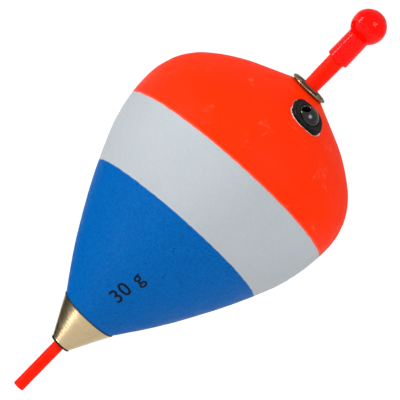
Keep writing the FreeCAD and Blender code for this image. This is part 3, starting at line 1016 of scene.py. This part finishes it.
@dataclass
class LineGuide:
    """The line guide: a squared housing with a ball socket, and the bored bead that swivels in it."""

    foam: FoamBody
    proud: float = 0.5
    flange_depth: float = 1.35
    length: float = 3.15
    width: float = 3.05
    squareness: float = 2.6
    bead_radius: float = 2.25
    socket_gap: float = 0.08
    sink: float = 0.95
    bore: float = 0.75
    mouth: float = 0.2
    tilt: float = 40.0
    shank: float = 2.6
    depth: float = 5.2
    tube: float = 0.7
    columns: int = 128

    def to_frame(self, local: Array) -> Array:
        """Carries points from the guide's own axes, its Z out of the shoulder, to the float's."""
        axes = np.array([[1.0, 0, 0], self.foam.across, self.foam.out])
        return self.foam.guide + local @ axes

    def make_housing(self, material: Material) -> Piece:
        """Makes the housing: rings that are round in the socket and squared at the flange.

        A ring's radius is (1 - q) r + q s(angle) w, where q says how squared it is, and s is the
        squared ellipse of the flange's edge. The rings go up the socket and down the outside, so the
        faces are turned over to point outwards.

        Args:
            material: its finish.

        Returns:
            The finished piece.
        """
        top, foot = self.proud, self.proud - self.depth
        centre = self.proud - self.sink
        socket = self.bead_radius + self.socket_gap
        wide = math.asin(self.sink / socket)
        opening = socket * math.cos(wide)
        round_over = 0.3
        wall = arc((0, centre), socket, math.degrees(-wide), math.degrees(wide), 12)
        rows = [(r, z, 0.0) for r, z in wall]
        rows += [(opening, top - 0.12, 0.0), (opening + 0.03, top - 0.04, 0.0), (opening + 0.11, top, 0.0)]
        for angle in np.linspace(90, 0, 7):
            turn = math.radians(angle)
            rows.append((1 - round_over * (1 - math.cos(turn)) / self.length,
                         top - round_over * (1 - math.sin(turn)), 1.0))
        rows += [(1.0, top - 0.8, 1.0), (1.0, top - self.flange_depth, 1.0)]
        rows += [(self.shank, top - self.flange_depth, 0.0), (self.shank, foot + 0.2, 0.0),
                 (self.shank - 0.2, foot, 0.0), (self.tube, foot, 0.0), (self.tube, foot + 0.3, 0.0),
                 (opening - 0.1, centre - socket, 0.0), (opening, centre - socket + 0.4, 0.0)]
        radius, height, squared = np.array(rows).T[:, :, None]
        angle = (2 * np.pi * np.arange(self.columns) / self.columns)[None, :]
        edge = (np.abs(np.cos(angle) / self.length) ** self.squareness
                + np.abs(np.sin(angle) / self.width) ** self.squareness) ** (-1 / self.squareness)
        reach = (1 - squared) * radius + squared * radius * edge
        local = np.stack((reach * np.cos(angle), reach * np.sin(angle),
                          np.repeat(height, self.columns, axis=1)), axis=-1).reshape(-1, 3)
        faces = grid_faces(len(rows), self.columns, True)[:, ::-1]
        piece = make_piece("line_guide_housing", self.to_frame(local), faces.tolist(), 38)
        part = Part("line_guide_housing", "float_body", "guide_housing", "black_moulding")
        return part.dress(piece, material)

    def make_bead(self, material: Material) -> Piece:
        """Makes the bead: a turned ring of a ball's arc and a bore with rounded mouths, then tilted.

        Args:
            material: its finish.

        Returns:
            The finished piece.
        """
        side = self.bore + self.mouth
        level = math.sqrt(self.bead_radius ** 2 - side ** 2)
        edge = math.degrees(math.atan2(level, side))
        outline = through(
            arc((0, 0), self.bead_radius, -edge, edge, 48),
            arc((side, level - self.mouth), self.mouth, 90, 180, 8),
            (self.bore, level - self.mouth, 10),
            arc((side, self.mouth - level), self.mouth, 180, 270, 8), (side, -level, 0),
        )
        points, faces = turned(outline, 96, True)
        reach = np.linalg.norm(points, axis=1)
        seam = 0.012 * np.exp(-((points[:, 2] / 0.05) ** 2)) * (reach > self.bead_radius - 0.02)
        points *= (1 - 0.012 / self.bead_radius + seam / self.bead_radius)[:, None]
        turn = np.array(Matrix.Rotation(math.radians(-self.tilt), 3, "Y"))
        local = points @ turn.T + [0, 0, self.proud - self.sink]
        piece = make_piece("line_guide_bead", self.to_frame(local), faces, 60)
        return Part("line_guide_bead", "swivel_bead", "guide_bead", "black_bead").dress(piece, material)


@dataclass
class Peg(Part):
    """The peg: parallel tip, drafted stem and wedge, with two fine mould lines along it."""

    stem: float = 1.03
    draft: float = 1.08
    wedge: float = 1.53
    spigot: float = 1.46
    tip: float = 10.0
    wedge_start: float = 50.0
    shoulder: float = 77.45
    edge: float = 0.12
    flash: float = 0.012
    flash_width: float = 0.045
    flash_angles: Pair = (0.35, 0.35 + math.pi)

    def make(self, material: Material) -> Piece:
        """Makes the peg: a turned outline, with a bell curve of flash added at two angles.

        Args:
            material: its finish.

        Returns:
            The finished piece.
        """
        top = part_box(self.node)[1][2] / MM
        outline = through(
            (0, 0, 1), (0.25, 0.0, 4),
            arc((self.stem - self.edge, self.edge), self.edge, -90, 0, 5),
            (self.stem, self.edge, 30), (self.stem, self.tip, 60), (self.draft, self.wedge_start, 60),
            (self.wedge, self.shoulder, 2), (self.spigot, self.shoulder, 12),
            arc((self.spigot - self.edge, top - self.edge), self.edge, 0, 90, 5),
            (self.spigot - self.edge, top, 1), (0, top, 1), (0, top, 0),
        )
        points, faces = turned(outline, 72, False)
        angle = np.arctan2(points[:, 1], points[:, 0])
        radius = np.hypot(points[:, 0], points[:, 1])
        turn = np.angle(np.exp(1j * (angle[:, None] - self.flash_angles)))
        flash = np.exp(-((turn / self.flash_width) ** 2)).sum(axis=1)
        grow = (self.flash * flash + 0.008 * ripple(points, 3.0, 21) - 0.012) * (radius > 0.8)
        points[:, :2] *= (1 + grow / np.maximum(radius, 0.3))[:, None]
        piece = make_piece(self.name, points, faces, 45)
        return self.dress(piece, material)


@dataclass
class BallCap(Part):
    """The soft cap: a ball on a slightly flared skirt, pushed on a little crooked."""

    bore: float = 1.5
    neck: float = 1.97
    flare: float = 0.06
    edge: float = 0.1
    ball: float = 3.07
    ball_height: float = 7.69
    socket: float = 6.24
    lean: float = 1.1

    def make(self, material: Material) -> Piece:
        """Makes the cap: skirt line, a small fillet at the neck, the ball's arc, and the blind bore.

        Args:
            material: its finish.

        Returns:
            The finished piece.
        """
        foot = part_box(self.node)[0][2] / MM
        wide = self.neck + self.flare
        fillet = 0.55
        # the fillet's middle is fillet off the skirt and ball + fillet off the ball's middle
        reach = self.neck + fillet
        drop = math.sqrt((self.ball + fillet) ** 2 - reach ** 2)
        meet = math.degrees(math.atan2(-drop, reach))
        outline = through(
            (self.bore + 0.05, 0.02, 5),
            arc((wide - self.edge, self.edge), self.edge, -90, 0, 6),
            (wide, self.edge, 22),
            arc((reach, self.ball_height - drop), fillet, 180, 180 + meet, 6),
            arc((0, self.ball_height), self.ball, meet, 88, 46),
            (0.05, self.ball_height + self.ball, 1), (0.05, self.socket, 1),
            (0.5, self.socket, 3), (self.bore, self.socket, 12), (self.bore, 0.07, 0),
        )
        points, faces = turned(outline, 96, True)
        low = points[:, 2] < 2
        angle = np.arctan2(points[:, 1], points[:, 0])
        points[:, 2] += low * 0.05 * (1 + np.cos(angle * 2 + 0.6)) * smoothstep(1.2, 0.0, points[:, 2])
        radius = np.hypot(points[:, 0], points[:, 1])
        outer = radius > self.bore + 0.06
        points[:, :2] *= (1 + outer * (0.016 * ripple(points, 4.0, 31) - 0.016) / 3)[:, None]
        tilt = np.array(Matrix.Rotation(math.radians(self.lean), 3, Vector((0.8, -0.6, 0))))
        points = np.where(outer[:, None], points @ tilt.T, points) + [0, 0, foot]
        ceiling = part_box(self.node)[1][2] / MM
        points[:, 2] = np.minimum(points[:, 2], ceiling)
        piece = make_piece(self.name, points, faces, 50)
        return self.dress(piece, material)


@dataclass
class BallastCone(Part):
    """The turned brass cone, its lip and mouth, and the tail that is glued into the foam."""

    rim: float = 5.47
    mouth: float = 1.93
    length: float = 7.0
    lip: float = 0.14
    tail: float = 2.67
    tail_length: float = 5.0
    inner: float = 1.72
    edge: float = 0.12

    def make(self, material: Material) -> Piece:
        """Makes the cone: a closed outline whose slope carries shallow tool rings.

        Args:
            material: its finish.

        Returns:
            The finished piece.
        """
        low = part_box(self.node)[0][2] / MM
        rim, length = self.rim, self.length
        end = length + self.tail_length
        outline = np.vstack((
            through((self.inner, 0.05, 3), arc((self.mouth - 0.1, 0.1), 0.1, -90, -25, 4), (0, 0, 0)),
            straight((self.mouth, 0.09), (rim - 0.06, length - self.lip - 0.06), 90),
            through((rim - 0.01, length - self.lip, 4),
                    arc((rim - self.edge, length - self.edge), self.edge, 0, 90, 6),
                    (rim - self.edge, length, 6), (self.tail, length, 8), (self.tail, end, 3),
                    (self.inner, end, 16), (self.inner, 0.05, 0)),
        ))
        points, faces = turned(outline, 128, True)
        radius = np.hypot(points[:, 0], points[:, 1])
        slope = (points[:, 2] > 0.2) & (points[:, 2] < length - self.lip) & (radius > self.inner + 0.1)
        groove = 0.002 * np.sin(points[:, 2] * 2 * np.pi / 0.62) + 0.005 * ripple(points, 4.0, 41) - 0.012
        points[:, :2] *= (1 + slope * groove / radius)[:, None]
        # darkens the cone's top edge, where it meets the foam, through the 'seam' values
        seam = smoothstep(length - 0.2, length - 0.08, points[:, 2]) * (radius > self.tail)
        points[:, 2] += low
        piece = make_piece(self.name, points, faces, 35)
        set_values(piece, "seam", seam)
        return self.dress(piece, material)


@dataclass
class SmallRing(Part):
    """A small closed ring given by its own outline: the eyelet, the stop ring or the bush."""

    outline: Array = field(default_factory=lambda: np.zeros((0, 2)))
    columns: int = 72
    dent: float = 0.0
    seed: int = 50
    # heights, then how dark the eyelet's rim is made at each: painted shade under the rolled rim, and a
    # darker band along its crest
    rim_darkening: tuple[float, ...] = ()

    def make(self, material: Material) -> Piece:
        """Turns the outline up from the node's lowest level, a little dented.

        Args:
            material: its finish.

        Returns:
            The finished piece.
        """
        points, faces = turned(self.outline, self.columns, True)
        points[:, 2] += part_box(self.node)[0][2] / MM
        bump = self.dent * (ripple(points, 1.4, self.seed) - 1)
        top = points[:, 2] > np.median(points[:, 2])
        points[:, 2] += bump * top
        piece = make_piece(self.name, points, faces, 35)
        # darkens the rim through the 'seam' values: painted shade on the underside of the rolled rim, and a
        # darker band on its crest
        if self.rim_darkening:
            shade = np.interp(self.outline[:, 1], *np.array(self.rim_darkening).reshape(2, -1))
            shade *= self.outline[:, 0] > 2.6
            set_values(piece, "seam", np.repeat(shade, self.columns))
        return self.dress(piece, material)


def eyelet_outline() -> Array:
    """Outline of the brass eyelet: barrel, underside, rolled rim, groove, dished plate, hole.

    Returns:
        Rows of (radius, height).
    """
    inner, barrel, reach, rim, plate, length = 1.965, 2.245, 3.48, 0.24, 0.26, 3.0
    hole, top = 1.47, length + plate
    return np.vstack((
        through((inner, 0, 2), (barrel, 0, 6), (barrel, length, 4),
                arc((reach - rim, length + rim), rim, -90, 135, 18),
                (reach - 2.581 * rim, top + 0.00704, 1), (reach - 2.2 * rim, top - 0.07, 6),
                (2.3, top - 0.03, 0)),
        straight((2.3, top - 0.03), (hole + 0.12, top), 5),
        through(arc((hole + 0.1, top - 0.1), 0.1, 90, 180, 4),
                (hole, top - 0.1, 2), (hole, length, 2), (inner, length, 6), (inner, 0, 0)),
    ))


def stop_ring_outline() -> Array:
    """Outline of the stop ring: a band with well rounded edges.

    Returns:
        Rows of (radius, height).
    """
    inner, wall, height, edge = 1.47, 0.29, 0.4, 0.13
    outer = inner + wall
    return np.vstack((
        through((inner, 0, 2), arc((outer - edge, edge), edge, -90, 0, 6),
                arc((outer - edge, height - edge), edge, 0, 90, 6),
                (outer - edge, height, 2), (inner + 0.05, height, 0)),
        straight((inner, height - 0.05), (inner, 0), 3),
    ))


def bush_outline() -> Array:
    """Outline of the bush in the cone's mouth: rounded flange, then the sleeve.

    Returns:
        Rows of (radius, height).
    """
    bore, sleeve, reach, flange, length = 1.43, 1.71, 1.92, 0.3, 3.0
    end = flange + length
    return through(
        (bore, 0.06, 1), (bore + 0.06, 0, 3), arc((reach - 0.16, 0.16), 0.16, -90, 0, 6),
        (reach, 0.16, 2), (reach, flange, 2), (sleeve, flange, 4), (sleeve, end, 2), (bore, end, 6),
        (bore, 0.06, 0),
    )


# ---------------------------------------------------------------- studio

MIDDLE = 0.04448


@dataclass(frozen=True)
class Spot:
    """A place in the studio: direction (level right, up, near), distance, and the level it starts at."""

    right: float
    up: float
    near: float
    distance: float = 0.8
    level: float = MIDDLE


@dataclass(frozen=True)
class Lamp:
    """A soft rectangular light: its name, place, size and power."""

    name: str
    spot: Spot
    size: Pair
    power: float


@dataclass(frozen=True)
class Card:
    """A flat card that the brass reflects: its name, place, size and shade."""

    name: str
    spot: Spot
    size: Pair
    shade: float


@dataclass
class Studio:
    """Floor, soft lights and the camera."""

    heading: float = -22.5
    height: float = 8.5
    roll: float = 44.3
    distance: float = 0.8
    wide: float = 0.06705
    middle: float = MIDDLE
    aside: float = -0.00002
    floor_level: float = -0.3
    sky: float = 0.45
    near_glow: float = 0.3
    far_glow: float = 0.8
    lamps: tuple[Lamp, ...] = (
        Lamp("key", Spot(-0.93, 0.02, 0.33), (0.15, 0.5), 3.1),
        Lamp("side", Spot(0.3, 0.62, 0.71), (0.34, 0.34), 2.4),
        Lamp("low", Spot(-0.26, -0.65, 0.71), (0.2, 0.2), 0.5),
        Lamp("strip", Spot(-0.5, -0.82, 0.27, 0.24, 0.014), (0.05, 0.05), 0.07),
    )
    card: Card = Card("dark_card", Spot(-0.66, -0.55, -0.5, 0.24, 0.013), (0.28, 0.32), 0.015)

    def facing(self) -> tuple[Vector, Vector, Vector]:
        """Directions towards the camera, to its right and up, before its roll.

        Returns:
            Three unit vectors: back, right and up.
        """
        turn, rise = math.radians(self.heading), math.radians(self.height)
        back = Vector((math.sin(turn) * math.cos(rise), -math.cos(turn) * math.cos(rise), math.sin(rise)))
        right = Vector((math.cos(turn), math.sin(turn), 0))
        return back, right, back.cross(right)

    def place(self, spot: Spot) -> Vector:
        """A spot's place in the frame.

        Args:
            spot: the spot.

        Returns:
            The place, in metres.
        """
        back, right, up = self.facing()
        way = right * spot.right + up * spot.up + back * spot.near
        return Vector((0, 0, spot.level)) + way.normalized() * spot.distance

    def rolled(self) -> tuple[Vector, Vector]:
        """The frame's own right and up, after the camera's roll.

        Returns:
            The two unit vectors.
        """
        _, right, up = self.facing()
        turn = math.radians(self.roll)
        return right * math.cos(turn) + up * math.sin(turn), up * math.cos(turn) - right * math.sin(turn)

    def add_camera(self) -> None:
        """Long-lens camera, rolled so that the float lies across the frame's diagonal."""
        back, right, _ = self.facing()
        x_axis, y_axis = self.rolled()
        data = bpy.data.cameras.new("camera")
        data.lens = data.sensor_width * self.distance / self.wide
        data.clip_start, data.clip_end = 0.02, 60
        camera = bpy.data.objects.new("camera", data)
        bpy.context.scene.collection.objects.link(camera)
        target = Vector((0, 0, self.middle)) + right * self.aside
        turned_axes = Matrix((x_axis, y_axis, back)).transposed()
        camera.matrix_world = Matrix.Translation(target + back * self.distance) @ turned_axes.to_4x4()
        bpy.context.scene.camera = camera

    def add_lamp(self, lamp: Lamp) -> None:
        """Adds a lamp, aimed at the float's middle.

        Args:
            lamp: the lamp.
        """
        data = bpy.data.lights.new(lamp.name, "AREA")
        data.shape = "RECTANGLE"
        data.size, data.size_y = lamp.size
        data.energy = lamp.power
        light = bpy.data.objects.new(lamp.name, data)
        light.location = self.place(lamp.spot)
        way = Vector((0, 0, self.middle)) - light.location
        light.rotation_euler = way.to_track_quat("-Z", "Y").to_euler()
        bpy.context.scene.collection.objects.link(light)

    def add_sheet(self, name: str, half: Pair) -> Piece:
        """Adds a flat rectangle about its own middle, which belongs to the stage.

        Args:
            name: its name.
            half: half its size along X and Y.

        Returns:
            The new object.
        """
        corners = np.array([(-1, -1, 0), (1, -1, 0), (1, 1, 0), (-1, 1, 0)]) * (*half, 0)
        mesh = bpy.data.meshes.new(name)
        mesh.from_pydata(corners.tolist(), [], [(0, 1, 2, 3)])
        sheet = bpy.data.objects.new(name, mesh)
        bpy.context.scene.collection.objects.link(sheet)
        return sheet

    def add_card(self) -> None:
        """Adds the card, turned to the float and seen only in what its shiny parts reflect."""
        card = self.add_sheet(self.card.name, (self.card.size[0] / 2, self.card.size[1] / 2))
        card.location = self.place(self.card.spot)
        way = Vector((0, 0, self.card.spot.level)) - card.location
        card.rotation_euler = way.to_track_quat("Z", "Y").to_euler()
        card.visible_camera = False
        paint = Nodes(self.card.name)
        paint.set(Base_Color=paint.grey(self.card.shade), Roughness=0.9)
        card.data.materials.append(paint.material)

    def add_floor(self) -> None:
        """Wide pale floor, a little luminous so that it stays plain behind the float."""
        floor = self.add_sheet("floor", (30.0, 30.0))
        floor.location.z = self.floor_level
        paint = Nodes("pale_floor")
        x, y, _ = paint.split()
        far_out = paint.math("SQRT", paint.math("MULTIPLY_ADD", x, x, paint.math("MULTIPLY", y, y)))
        glow = paint.step(far_out, 0.35, 1.1, self.near_glow, self.far_glow)
        paint.set(Base_Color=paint.grey(0.6), Roughness=0.9, Specular_IOR_Level=0.1,
                  Emission_Color=(1.0, 1.0, 1.0), Emission_Strength=glow)
        floor.data.materials.append(paint.material)

    def build(self) -> None:
        """Sets the whole studio up."""
        scene = bpy.context.scene
        scene.view_settings.view_transform = "Standard"
        world = bpy.data.worlds.new("soft_sky")
        scene.world = world
        world.use_nodes = True
        background = world.node_tree.nodes["Background"]
        background.inputs["Color"].default_value = (1.0, 1.0, 1.0, 1.0)
        background.inputs["Strength"].default_value = self.sky
        self.add_floor()
        self.add_card()
        for lamp in self.lamps:
            self.add_lamp(lamp)
        self.add_camera()
        log.info("studio: heading %.1f, height %.1f, lens %.0f mm", self.heading, self.height,
                 scene.camera.data.lens)


def main() -> None:
    """Builds every piece in order, then the studio."""
    logging.basicConfig(level=logging.INFO, format="%(name)s: %(message)s")
    # the orange plastic glows a little by itself (glow 0.12): painted light standing in for its fluorescent
    # brightness
    orange = MatteMoulding("orange_plastic", (1.0, 0.012, 0.001), (0.92, 0.008, 0.001), (1.0, 0.05, 0.02),
                           roughness=0.42, grain=0.01, wear=0.3, shine=0.2, tint=(1.0, 0.3, 0.2),
                           glow=0.12).build()
    black = MatteMoulding("black_moulding", (0.005, 0.005, 0.0055), (0.009, 0.009, 0.0095),
                          (0.035, 0.034, 0.032), roughness=0.3, grain=0.008, wear=0.3, shine=0.12).build()
    grey = MatteMoulding("grey_rubber", (0.06, 0.065, 0.055), (0.09, 0.095, 0.08), (0.19, 0.19, 0.17),
                         roughness=0.6).build()
    milky = MatteMoulding("clear_liner", (0.75, 0.74, 0.7), (0.68, 0.67, 0.62), (0.85, 0.84, 0.82),
                          roughness=0.4, grain=0.006, wear=0.4).build()
    aged = TurnedBrass((0.42, 0.32, 0.17), (0.06, 0.052, 0.03), "aged_brass", patina=0.95).build()

    foam = FoamBody("foam_body_shell", "float_body", "foam_body", "painted_foam")
    foam.make(PaintedFoam())
    CapacityMark("capacity_mark", "float_body", "", "painted_foam").make(foam, PadInk())
    guide = LineGuide(foam)
    guide.make_housing(black)
    guide.make_bead(GlossBead().build())
    Peg("peg_shell", "peg", "peg", "orange_plastic").make(orange)
    BallCap("ball_cap_shell", "cap", "ball_cap", "red_cap").make(DippedVinyl().build())
    brass = TurnedBrass().build()
    BallastCone("ballast_cone_shell", "float_body", "ballast_cone", "turned_brass").make(brass)
    # the eyelet's rim is darkened: painted shade on its underside, and a darker band along its crest
    SmallRing("top_eyelet_shell", "float_body", "top_eyelet", "aged_brass", eyelet_outline(),
              columns=128, dent=0.012, seed=51,
              rim_darkening=(3.0, 3.1, 3.2, 3.36, 3.48, 1.0, 0.9, 0.15, 0.0, 0.5)).make(aged)
    SmallRing("stop_ring_shell", "ring", "stop_ring", "grey_rubber", stop_ring_outline(),
              dent=0.01, seed=52).make(grey)
    SmallRing("lower_bush_shell", "float_body", "lower_bush", "black_moulding", bush_outline(),
              seed=53).make(black)
    for name in ("bore_liner", "line_tube"):
        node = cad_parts[name]
        for slot in node.material_slots:
            slot.material = milky
        log.info("%s: kept from the frame", name)

    Studio().build()


if __name__ == "__main__":
    main()
